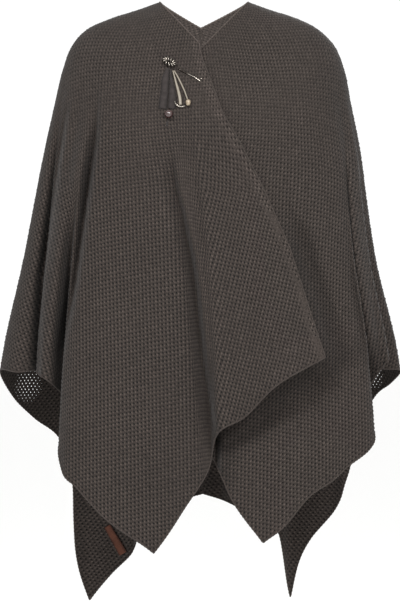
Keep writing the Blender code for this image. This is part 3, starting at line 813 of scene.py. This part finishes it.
# Wool and acrylic, loosely spun: matt, with a breath of sheen from loose fibres, in a charcoal that is a
# little cloudy. Single fibres are too fine to show, so the fuzz is drawn in tufts of 2 mm.
YARN, TUFT, CLOUD = "#292421", 2.083 * MM, 111.1 * MM
made = finish_of("tuck_stitch_wool_and_acrylic", YARN, 0.9, Specular_IOR_Level=0.15, Sheen_Weight=0.04)
yarn, tree, shader, spot = made
# A pit is drawn dark, a painted shade in its hollow, and the loop beside it, a little lower, is drawn light,
# a painted highlight where it catches the light. Both are ovals that lean along one diagonal, with their
# places
# and sizes in stitches: across, down, long, wide, turn and the tone in their middle.
PIT_OVAL = (0.5, 0.5, 0.3, 0.17, math.radians(-52), 0.0)
LOOP_OVAL = (0.0, 0.74, 0.28, 0.12, math.radians(-58), 2.4)
OVAL_CORE, OVAL_RIM = 0.3, 1.6
SPREAD = {"From Min": 0.3, "From Max": 0.7}  # nearly all of a noise lies between these
stitch = add(tree, "Attribute", attribute_name="stitch").outputs["Vector"]
tones = []
for across, down, long, wide, turn, middle in (PIT_OVAL, LOOP_OVAL):
    cell = add(tree, "VectorMath", {0: stitch, 1: (0.5 - across, 0.5 - down, 0)}, operation="ADD")
    cell = add(tree, "VectorMath", {0: cell}, operation="FRACTION")
    oval = {"Vector": cell, "Location": (0.5, 0.5, 0), "Rotation": (0, 0, turn), "Scale": (long, wide, 1)}
    oval = add(tree, "Mapping", oval, vector_type="TEXTURE")
    oval = add(tree, "VectorMath", {0: oval}, operation="LENGTH").outputs["Value"]
    oval = {"Value": oval, "From Min": OVAL_CORE, "From Max": OVAL_RIM, "To Min": middle}
    tones.append(add(tree, "MapRange", oval, interpolation_type="SMOOTHSTEP"))
shade = add(tree, "Attribute", attribute_name="shade").outputs["Fac"]
fuzz = add(tree, "TexNoise", {"Vector": spot, "Scale": 1 / TUFT, "Detail": 2.0})
cloud = add(tree, "TexNoise", {"Vector": spot, "Scale": 1 / CLOUD, "Detail": 3.0})
tone = add(tree, "MapRange", {"Value": fuzz, **SPREAD, "To Min": 0.66, "To Max": 1.3})
cloud = add(tree, "MapRange", {"Value": cloud, **SPREAD, "To Min": 0.94, "To Max": 1.06})
for part in (cloud, *tones, shade):
    tone = add(tree, "Math", {0: tone, 1: part}, operation="MULTIPLY")
colour = add(tree, "VectorMath", {0: linear(YARN)[:3], "Scale": tone}, operation="SCALE")
bump = add(tree, "Bump", {"Height": fuzz, "Strength": 0.5, "Distance": 0.5 * MM})
fed(shader, {"Base Color": colour, "Normal": bump})

LAP_EVERY, LAP_FRONT = 3, -50 * MM  # every third point of the over panel's free edges, in front of this
cloth, lap = {}, None
for panel_name, hem_rows, hand in (("over", OVER_HEM, -1), ("under", UNDER_HEM, 1)):
    grid, ends = surface(hem_rows, hand)
    flat = finer(flattened(grid[::FINER, ::FINER], [end // FINER for end in ends]))
    stitches = stitches_of(grid, flat, hand)
    cols = grid.shape[1]
    sharp = [0, cols - 1] + [(grid.shape[0] - 1) * cols + end for end in ends]
    grid = creased(grid, hand)
    outward = normals_of(grid, hand)
    grid -= outward * WALL / 2 * MM
    knit = knitted(f"{panel_name}_knit", grid, outward, stitches, sharp, yarn, lap)
    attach(knit, "root")
    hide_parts(f"{panel_name}_panel")
    edge = rolled(f"{panel_name}_edge", grid)
    cloth[panel_name] = (grid, outward)
    lap = np.concatenate([grid[::LAP_EVERY, 0], grid[-1, ::LAP_EVERY]])
    lap = lap[lap[:, 1] < LAP_FRONT]

# ----------------------------------------
# The back seam. The two panels' straight edges meet down the centre back, whipped together over a cord of
# their own yarn, a turn every few millimetres through both edges.
# ----------------------------------------
SEAM_WIDE, SEAM_DEEP, SEAM_PITCH, SEAM_YARN = 2.3 * MM, 1.5 * MM, 5.2 * MM, 0.7 * MM
SEAM_CORD, TURN_POINTS, SEAM_SIDES = 1.7 * SEAM_YARN, 10, 5
seam_line = (cloth["over"][0][:, -1] + cloth["under"][0][:, -1]) / 2
seam_out = cloth["over"][1][:, -1] + cloth["under"][1][:, -1]
seam_out /= np.linalg.norm(seam_out, axis=1, keepdims=True)
seam_turns = int(lengths(seam_line)[-1] / SEAM_PITCH)
share = np.linspace(0, 1, seam_turns * TURN_POINTS + 1)
centre, out = along_line(seam_line, share, seam_line, seam_out)
wind = (2 * math.pi * seam_turns * share)[:, None]
whip = centre + SEAM_WIDE * np.cos(wind) * np.array([1, 0, 0]) + SEAM_DEEP * np.sin(wind) * out
loft("seam_cord", tube(centre, np.full(len(centre), SEAM_CORD), SEAM_SIDES), yarn, shade=1.0)
# The whipping yarn carries the edge's painted highlight.
loft("seam_yarn", tube(whip, np.full(len(whip), SEAM_YARN), SEAM_SIDES), yarn, shade=EDGE_HIGHLIGHT)

# ----------------------------------------
# The brooch: a head knotted of twisted silver wire, darkened in its hollows, with a plain shaft that ends
# in a small stud. The real shaft goes in and out of both layers of the knit, and this one lies on it, as
# its CAD solid does.
# ----------------------------------------
CLEAR = 0.15  # above the knit's crossings
FRONT, INSIDE = -1.0, 0.0  # a look along +Y starts here for the front's outer face, or the back's inner one
over_grid = cloth["over"][0]
over_cells = np.stack(cells_of(over_grid), axis=1)
over_tree = BVHTree.FromPolygons(over_grid.reshape(-1, 3).tolist(), over_cells.tolist())


def seat(x, drop, off, start=FRONT):
    """The point at x and drop that stands off the knit by off, in metres."""
    hit, normal, _, _ = over_tree.ray_cast((x * MM, start, -drop * MM), (0, 1, 0))
    off = off * MM + RELIEF * (1 - LEVEL if start == FRONT else LEVEL)
    return np.array(hit - math.copysign(1, normal.y) * normal * off)


def run_of(columns, rows, count):
    """A smooth run of count points through a short table, by column name."""
    at = table(columns, rows)
    length = lengths(np.stack([at["x"], at["drop"]], axis=1))
    even = np.linspace(0, length[-1], count)
    return {name: smooth(length, column, even) for name, column in at.items()}


def lying(rows, off, count=40):
    """The centre line of a round piece that lies on the front, with its middle this far off the knit."""
    run = run_of("x drop", rows, count)
    return np.array([seat(x, drop, CLEAR + off) for x, drop in zip(run["x"], run["drop"])])


BLUNT = 0.12  # the square of the share of the radius that is left at a rounded end


def rounded(count, full=3):
    """Shares of a radius along a piece whose ends are rounded off over full points."""
    from_end = np.minimum(np.minimum(np.arange(count), np.arange(count)[::-1]) / full, 1)
    return np.sqrt(np.maximum(from_end * (2 - from_end), BLUNT))


def mottled(name, colours, roughness, patch, detail, spread, shaded=None, warp=0.0, grain=None, **sockets):
    """A finish that goes from one colour to another in patches of a size, over a spread of their noise. The
    piece's shade may be added to the noise, or multiply it. A grain has a size, a strength and a depth.
    Returns the material with its tree, its shader and what the colours are mixed by."""
    made, tree, shader, spot = finish_of(name, colours[0], roughness, **sockets)
    mix = {"Vector": spot, "Scale": 1 / patch, "Detail": detail, "Distortion": warp}
    mix = add(tree, "TexNoise", mix)
    if shaded:
        shade = add(tree, "Attribute", attribute_name="shade").outputs["Fac"]
        mix = add(tree, "Math", {0: mix, 1: shade}, operation=shaded)
    mix = add(tree, "MapRange", {"Value": mix, "From Min": spread[0], "From Max": spread[1]})
    tone = {"Factor": mix, 6: linear(colours[0]), 7: linear(colours[1])}
    fed(shader, {"Base Color": add(tree, "Mix", tone, data_type="RGBA").outputs[2]})
    if grain:
        size, strength, depth = grain
        pebbles = add(tree, "TexVoronoi", {"Vector": spot, "Scale": 1 / size})
        bump = add(tree, "Bump", {"Height": pebbles, "Strength": strength, "Distance": depth})
        fed(shader, {"Normal": bump})
    return made, tree, shader, mix


# Silver, darkened and rubbed bright again: its crests shine and its hollows stay nearly black, with smuts
# of 2 mm between them.
TARNISH, POLISHED, SMUT = "#292421", "#a09990", 2.381 * MM
made = mottled("antique_silver", (POLISHED, TARNISH), 0.3, SMUT, 4.0, (0.35, 0.85), "ADD", Metallic=1.0)
silver, tree, shader, smut = made
fed(shader, {"Roughness": add(tree, "MapRange", {"Value": smut, "To Min": 0.2, "To Max": 0.6})})

HEAD_X, HEAD_DROP = -57.6, 111
HEAD_FEEL = 5  # the slope of the knit under it is taken over this much each way
HEAD_LONG, HEAD_SHORT = 9.2, 4.2  # half width and half height of the knot's centre line
HEAD_SLANT = math.radians(28)  # down towards the shaft
HEAD_LOOP, HEAD_WINDS = 3.3, 11  # the wire winds this far out round that line, this often in its two rounds
HEAD_WIRE, HEAD_POINTS, HEAD_LAY = 1.05, 620, 50  # the twisted pair turns this often
HEAD_GROOVE, HEAD_SIDES = 0.28, 12  # how deep the groove between its two wires is
HEAD_DARK, HEAD_TOP = 1.3, -0.1  # how much the shade grows down to the knit, and the shade at the top
middle = seat(HEAD_X, HEAD_DROP, 0)
ahead = seat(HEAD_X + HEAD_FEEL, HEAD_DROP, 0) - seat(HEAD_X - HEAD_FEEL, HEAD_DROP, 0)
down = seat(HEAD_X, HEAD_DROP + HEAD_FEEL, 0) - seat(HEAD_X, HEAD_DROP - HEAD_FEEL, 0)
ahead /= np.linalg.norm(ahead)
out = np.cross(down, ahead)
out /= np.linalg.norm(out)
down = np.cross(ahead, out)
about = np.linspace(0, 4 * math.pi, HEAD_POINTS, endpoint=False)[:, None]
wind = about * HEAD_WINDS / 2
reach = HEAD_LOOP * np.cos(wind)
height = CLEAR + HEAD_WIRE + HEAD_LOOP * (1 + np.sin(wind))
long_way = math.cos(HEAD_SLANT) * ahead + math.sin(HEAD_SLANT) * down
short_way = math.cos(HEAD_SLANT) * down - math.sin(HEAD_SLANT) * ahead
wire = (HEAD_LONG + reach) * np.cos(about) * long_way + (HEAD_SHORT + reach) * np.sin(about) * short_way
wire = middle + MM * (wire + height * out)
rings = tube(wire, np.full(HEAD_POINTS, HEAD_WIRE * MM), HEAD_SIDES, HEAD_GROOVE, HEAD_LAY, closed=True)
low_down = 1 - ((rings - middle) @ out) / (MM * (CLEAR + 2 * HEAD_WIRE + 2 * HEAD_LOOP))
loft("brooch_head", rings, silver, "pin_head", low_down * HEAD_DARK + HEAD_TOP, closed=True)

SHAFT = [(-43, 121.4), (-32, 127.7), (-20, 133.6), (-11, 138.8), (-4, 143.9)]
SHAFT_OFF, SHAFT_SIDES = 1.3, 14
SHAFT_SHARES = [0, 0.3, 0.5, 0.7, 0.85, 1]
SHAFT_RADII = [1.2, 1.0, 0.95, 1.0, 1.1, 1.2]
# The shaft is darker near the head and brighter towards the stud.
SHAFT_DARKENING = [0.45, 0.4, 0.25, 0.1, -0.05, -0.2]
shaft_line = lying(SHAFT, SHAFT_OFF)
share = np.linspace(0, 1, len(shaft_line))
radii = smooth(SHAFT_SHARES, SHAFT_RADII, share) * MM * rounded(len(share))
darkening = np.interp(share, SHAFT_SHARES, SHAFT_DARKENING)[:, None]
loft("brooch_shaft", tube(shaft_line, radii, SHAFT_SIDES), silver, "pin_shaft", darkening)


def beaded(x, drop, across, along, around=28, rings=18, full=0.0):
    """The rings of a bead that lies on the knit and stands upright, from half its width and half its
    length. A full one has broader ends."""
    centre = seat(x, drop, CLEAR + across)
    angle = math.pi * (np.arange(rings) + 0.5) / rings
    line = centre + np.array([0, 0, along * MM]) * np.cos(angle)[:, None]
    return tube(line, across * MM * np.sin(angle) ** (1 - full), around)


STUD = (-3.2, 139.2, 1.4, 1.4)  # x, drop, half its width and half its length
loft("brooch_stud", beaded(*STUD, 16, 12), silver, "pin_stud", -0.1)

# ----------------------------------------
# The tassel: two flat suede tails and a looped cream lace hang from under the brooch's head. A polished
# brown bead ends one tail, and a silver crescent and a cream bead end the lace.
# ----------------------------------------
STRIP_SHARES = np.cos(np.linspace(math.pi, 0, 11))  # across the upper face, closer together at the edges
STRIP_POINTS, WAVE = 48, 9  # along a strip, and how many radians of the wave are in its length
SECTION, SHADE_IN = 0.25, 3  # the section is squarer than an oval, and the shade is gathered at its edges


def strip(name, rows, thick, crown, material, node, start=FRONT, sag=0.0):
    """A flat strip with rounded edges that lies on the knit. Its middle stands up by crown, and sag is a
    low wave along it."""
    run = run_of("x drop width", rows, STRIP_POINTS)
    along = np.gradient(np.stack([run["x"], run["drop"]], axis=1), axis=0)
    along /= np.linalg.norm(along, axis=1, keepdims=True)
    rings, ends = [], rounded(STRIP_POINTS, 2)
    for k, (x, drop, width, way) in enumerate(zip(run["x"], run["drop"], run["width"], along)):
        ring = []
        wave = sag * (1 + math.sin(WAVE * k / STRIP_POINTS + 1))
        for side, shares in ((1, STRIP_SHARES), (-1, STRIP_SHARES[::-1])):
            for f in shares:
                edge = max(0.0, 1 - f * f) ** SECTION
                high = crown * (1 - f * f) if side > 0 else 0
                off = thick / 2 + side * thick / 2 * edge * ends[k] + high
                across = f * width / 2
                ring.append(seat(x - way[1] * across, drop + way[0] * across, CLEAR + off + wave, start))
        rings.append(ring)
    shade = np.abs(np.concatenate([STRIP_SHARES, STRIP_SHARES[::-1]]))
    return loft(name, np.array(rings), material, node, shade[None, :] ** SHADE_IN)


# x, drop and width down the middle of each.
LEFT_TAIL = [(-60.2, 121, 4), (-64.5, 139, 12.6), (-65.9, 159, 13), (-68, 179, 14), (-69.2, 191, 14.4)]
RIGHT_TAIL = [(-56.0, 122.5, 3), (-54.4, 139, 5.2), (-53, 159, 10.6), (-52.4, 179, 14), (-53.8, 191, 13)]
WIDE_LACE = [
    (-51.6, 125.2, 2.6), (-46.9, 143.4, 3.6), (-42.6, 159.2, 5.2), (-39.3, 175, 5.8), (-38.6, 185, 6),
]
NARROW_LACE = [
    (-49.6, 125.4, 2.8), (-43.6, 135.5, 3.1), (-34.1, 155.3, 3.2), (-26.9, 173, 3.4), (-26, 175.4, 3.4),
]

# Split leather with a brushed nap: it has no gloss, is lighter or darker as the nap lies, in strokes 8 mm
# long, and is darkest at its cut edges, partly their own darker colour and partly a painted shade round its
# outline. The nap is drawn coarser than it is, so that it shows.
SUEDE, NAP, STROKE = "#282423", 0.6667 * MM, 8.333 * MM
made = finish_of("grey_suede", SUEDE, 0.95, Specular_IOR_Level=0.15, Sheen_Weight=0.25, Sheen_Roughness=0.4)
suede, tree, shader, spot = made
edge = add(tree, "Attribute", attribute_name="shade").outputs["Fac"]
nap = add(tree, "TexNoise", {"Vector": spot, "Scale": 1 / NAP, "Detail": 3.0})
light = add(tree, "TexNoise", {"Vector": spot, "Scale": 1 / STROKE, "Detail": 2.0})
light = add(tree, "MapRange", {"Value": light, **SPREAD, "To Min": 0.75, "To Max": 1.3})
# A painted shade along the cut edges, with their own darker colour.
dark = add(tree, "MapRange", {"Value": edge, "To Min": 1.0, "To Max": 0.3})
light = add(tree, "Math", {0: light, 1: dark}, operation="MULTIPLY")
tone = add(tree, "VectorMath", {0: linear(SUEDE)[:3], "Scale": light}, operation="SCALE")
bump = add(tree, "Bump", {"Height": nap, "Strength": 0.6, "Distance": 0.2 * MM})
fed(shader, {"Base Color": tone, "Normal": bump})
TAIL_THICK, TAIL_CROWN = 1.2, 0.5
strip("suede_tail_left", LEFT_TAIL, TAIL_THICK, TAIL_CROWN, suede, "left_tail")
strip("suede_tail_right", RIGHT_TAIL, TAIL_THICK, TAIL_CROWN, suede, "right_tail")

# Thin cream leather with a fine grain: a soft shine, and darker brown along its edges in patches 6 mm long,
# partly the leather's own dark edges and partly a painted shade between the laces. The grain is about 0.5
# mm, its real size.
LACE, LACE_EDGE, LACE_GRAIN, LACE_EDGE_PATCH = "#6e675c", "#2f261d", 0.4545 * MM, 6.25 * MM
# A painted shade at the edges, mixed with their own darker brown.
cream = mottled(
    "cream_leather", (LACE, LACE_EDGE), 0.45, LACE_EDGE_PATCH, 3.0, (0.06, 0.36), "MULTIPLY",
    grain=(LACE_GRAIN, 0.25, 0.2 * MM), Specular_IOR_Level=0.35,
)[0]
LACE_THICK = 1.3
strip("lace_wide", WIDE_LACE, LACE_THICK, 0.7, cream, "wide_lace", sag=0.5)
strip("lace_narrow", NARROW_LACE, LACE_THICK, 0.9, cream, "narrow_lace", sag=0.6)

# Turned and polished wood: nearly black streaks 4 mm apart in a red brown, under a clear coat that shines.
BEAD_BROWN, BEAD_DARK, STREAK = "#3c2320", "#150b0a", 3.846 * MM
turned = mottled(
    "polished_brown_wood", (BEAD_BROWN, BEAD_DARK), 0.22, STREAK, 4.0, (0.35, 0.7), warp=1.5,
    Coat_Weight=0.6, Coat_Roughness=0.1,
)[0]
BROWN_BEAD = (-58.2, 202.6, 7.2, 7.2)
loft("wooden_bead", beaded(*BROWN_BEAD), turned, "brown_bead")

BEAD_CORD = [(-59.4, 210.6), (-61.4, 216), (-62, 222)]
THONG, THONG_POINTS, THONG_SIDES = 0.9, 26, 10
KNOT, KNOT_START, KNOT_FULL = 0.55, 16, 20  # it is knotted at its end, from and to these points
thong_line = lying(BEAD_CORD, THONG, THONG_POINTS)
thong_radii = 1 + KNOT * ease(KNOT_START, KNOT_FULL, np.arange(THONG_POINTS))
thong_radii = THONG * MM * rounded(THONG_POINTS) * thong_radii
loft("bead_thong", tube(thong_line, thong_radii, THONG_SIDES), suede, "bead_cord")

CRESCENT = [(-48.2, 177), (-47.4, 182), (-44.2, 186.3), (-38.4, 188.4), (-33, 187.9), (-30.4, 186.6)]
CRESCENT_THICK, CRESCENT_OFF, CRESCENT_POINTS, CRESCENT_SIDES = 1.35, 2.8, 44, 12
CRESCENT_TIP = 0.6  # its thickness at the tips against its middle
# The crescent is darkest at its upper left tip and brightest round its bottom.
CRESCENT_DARKENING = ([0, 14, 24, 32, 43], [0.3, 0.1, -0.25, -0.25, 0.1])  # at these points
crescent_line = lying(CRESCENT, CRESCENT_OFF, CRESCENT_POINTS)
swell = CRESCENT_TIP + (1 - CRESCENT_TIP) * np.sin(np.linspace(0.15, 3.0, CRESCENT_POINTS))
radii = CRESCENT_THICK * MM * swell * rounded(CRESCENT_POINTS)
darkening = np.interp(np.arange(CRESCENT_POINTS), *CRESCENT_DARKENING)[:, None]
loft("silver_crescent", tube(crescent_line, radii, CRESCENT_SIDES), silver, "crescent", darkening)

# A moulded bead with a satin skin: cream with brown clouds in it, 3 mm across.
PEARL, PEARL_DARK, PEARL_CLOUD = "#877a66", "#574739", 3.03 * MM
satin = mottled(
    "satin_cream_bead", (PEARL, PEARL_DARK), 0.4, PEARL_CLOUD, 3.0, (0.4, 0.75),
    Coat_Weight=0.25, Coat_Roughness=0.3,
)[0]
CREAM_BEAD = (-24, 181.9, 4.2, 5.4)
loft("satin_bead", beaded(*CREAM_BEAD, full=0.3), satin, "cream_bead")

# ----------------------------------------
# The label: a bare strip of dark brown leather, smooth edged, that lies flat on the knit inside the over
# panel's back point. It carries nothing, and no sewing.
# ----------------------------------------
# x, drop and width down its middle.
LABEL = [(-169, 921, 13), (-159.5, 937, 14), (-149.5, 953, 15), (-140, 969, 16)]
# Bare grained leather: matt, with a pebbled grain of about 1 mm, darker at its edges and in 11 mm patches.
HIDE, HIDE_EDGE, HIDE_GRAIN, HIDE_PATCH = "#4d2e22", "#2b1811", 1.111 * MM, 11.11 * MM
hide = mottled(
    "brown_leather", (HIDE, HIDE_EDGE), 0.6, HIDE_PATCH, 4.0, (0.45, 1.3), "ADD",
    grain=(HIDE_GRAIN, 0.5, 0.4 * MM), Specular_IOR_Level=0.12,
)[0]
LABEL_THICK, LABEL_CROWN = 1.2, 0.2
strip("leather_label", LABEL, LABEL_THICK, LABEL_CROWN, hide, "label", start=INSIDE)
